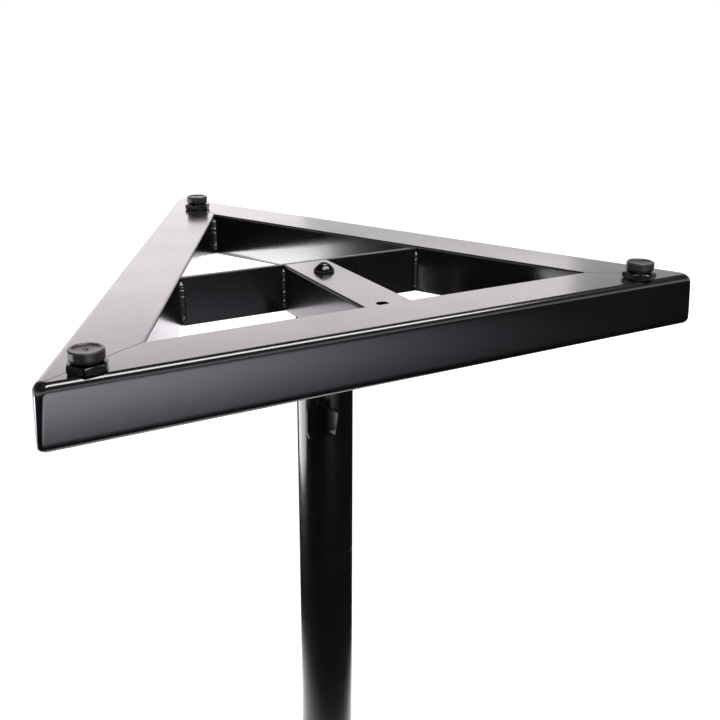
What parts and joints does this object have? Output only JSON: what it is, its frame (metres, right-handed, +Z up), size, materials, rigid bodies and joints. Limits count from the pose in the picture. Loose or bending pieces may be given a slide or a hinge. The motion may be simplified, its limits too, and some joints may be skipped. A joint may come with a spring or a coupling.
{
  "type": "speaker stand",
  "caption": "Tall stand for a loudspeaker: a mitred triangular top frame with levelling rubber pads, a round sectioned column and a wider triangular base on levelling feet.",
  "frame": {"origin": "on the floor under the middle of the base frame's footprint box", "axes": "+Z up along the column; +Y from the long front tubes to the back corners; +X to the right as seen from the front tube's side"},
  "size_m": [0.4938, 0.489, 0.7113],
  "materials": {
    "black_powder_coat": "semi-gloss black coat with fine orange peel",
    "black_column_paint": "satin black paint on round tube",
    "blackened_steel": "black oxide, slightly oily",
    "zinc_plated_steel": "bright zinc plate",
    "cap_rubber": "matt moulded rubber",
    "foot_rubber": "matt moulded rubber"
  },
  "bodies": {
    "stand": {"top_front_tube": "black_powder_coat", "top_left_tube": "black_powder_coat", "top_right_tube": "black_powder_coat", "top_cross_bar": "black_powder_coat", "top_tongue": "black_powder_coat", "top_clamp_sleeve": "zinc_plated_steel", "top_column_bolt": "blackened_steel", "pad_bushes": "zinc_plated_steel", "neck_tube": "black_column_paint", "neck_plug": "zinc_plated_steel", "cable_guide": "black_powder_coat", "column_spigot": "zinc_plated_steel", "column_tube": "black_column_paint", "column_plug": "zinc_plated_steel", "base_front_tube": "black_powder_coat", "base_left_tube": "black_powder_coat", "base_right_tube": "black_powder_coat", "base_cross_bar": "black_powder_coat", "base_tongue": "black_powder_coat", "base_clamp_sleeve": "zinc_plated_steel", "base_column_bolt": "blackened_steel", "foot_bushes": "zinc_plated_steel"},
    "left_pad": {"left_pad_cap": "cap_rubber", "left_pad_stud": "zinc_plated_steel"},
    "left_pad_lock": {"left_pad_nut": "blackened_steel"},
    "left_levelling_foot": {"left_foot": "foot_rubber", "left_foot_stud": "zinc_plated_steel"},
    "left_foot_lock": {"left_foot_nut": "blackened_steel"},
    "right_pad": {"right_pad_cap": "cap_rubber", "right_pad_stud": "zinc_plated_steel"},
    "right_pad_lock": {"right_pad_nut": "blackened_steel"},
    "right_levelling_foot": {"right_foot": "foot_rubber", "right_foot_stud": "zinc_plated_steel"},
    "right_foot_lock": {"right_foot_nut": "blackened_steel"},
    "back_pad": {"back_pad_cap": "cap_rubber", "back_pad_stud": "zinc_plated_steel"},
    "back_pad_lock": {"back_pad_nut": "blackened_steel"},
    "back_levelling_foot": {"back_foot": "foot_rubber", "back_foot_stud": "zinc_plated_steel"},
    "back_foot_lock": {"back_foot_nut": "blackened_steel"}
  },
  "joints": [
    {"name": "left_pad_screw", "type": "slide", "parent": "stand", "child": "left_pad", "axis": [0, 0, 1], "range_m": [0, 0.01]},
    {"name": "left_pad_nut_turn", "type": "hinge", "parent": "stand", "child": "left_pad_lock", "pos_m": [-0.187, -0.21466, 0.70275], "axis": [0, 0, 1], "continuous": true},
    {"name": "left_foot_screw", "type": "slide", "parent": "stand", "child": "left_levelling_foot", "axis": [0, 0, -1], "range_m": [0, 0.01]},
    {"name": "left_foot_nut_turn", "type": "hinge", "parent": "stand", "child": "left_foot_lock", "pos_m": [-0.204, -0.22845, 0.01205], "axis": [0, 0, 1], "continuous": true},
    {"name": "right_pad_screw", "type": "slide", "parent": "stand", "child": "right_pad", "axis": [0, 0, 1], "range_m": [0, 0.01]},
    {"name": "right_pad_nut_turn", "type": "hinge", "parent": "stand", "child": "right_pad_lock", "pos_m": [0.174, -0.21466, 0.70275], "axis": [0, 0, 1], "continuous": true},
    {"name": "right_foot_screw", "type": "slide", "parent": "stand", "child": "right_levelling_foot", "axis": [0, 0, -1], "range_m": [0, 0.01]},
    {"name": "right_foot_nut_turn", "type": "hinge", "parent": "stand", "child": "right_foot_lock", "pos_m": [0.204, -0.22845, 0.01205], "axis": [0, 0, 1], "continuous": true},
    {"name": "back_pad_screw", "type": "slide", "parent": "stand", "child": "back_pad", "axis": [0, 0, 1], "range_m": [0, 0.01]},
    {"name": "back_pad_nut_turn", "type": "hinge", "parent": "stand", "child": "back_pad_lock", "pos_m": [-0.004, 0.14355, 0.70275], "axis": [0, 0, 1], "continuous": true},
    {"name": "back_foot_screw", "type": "slide", "parent": "stand", "child": "back_levelling_foot", "axis": [0, 0, -1], "range_m": [0, 0.01]},
    {"name": "back_foot_nut_turn", "type": "hinge", "parent": "stand", "child": "back_foot_lock", "pos_m": [0, 0.18454, 0.01205], "axis": [0, 0, 1], "continuous": true}
  ]
}
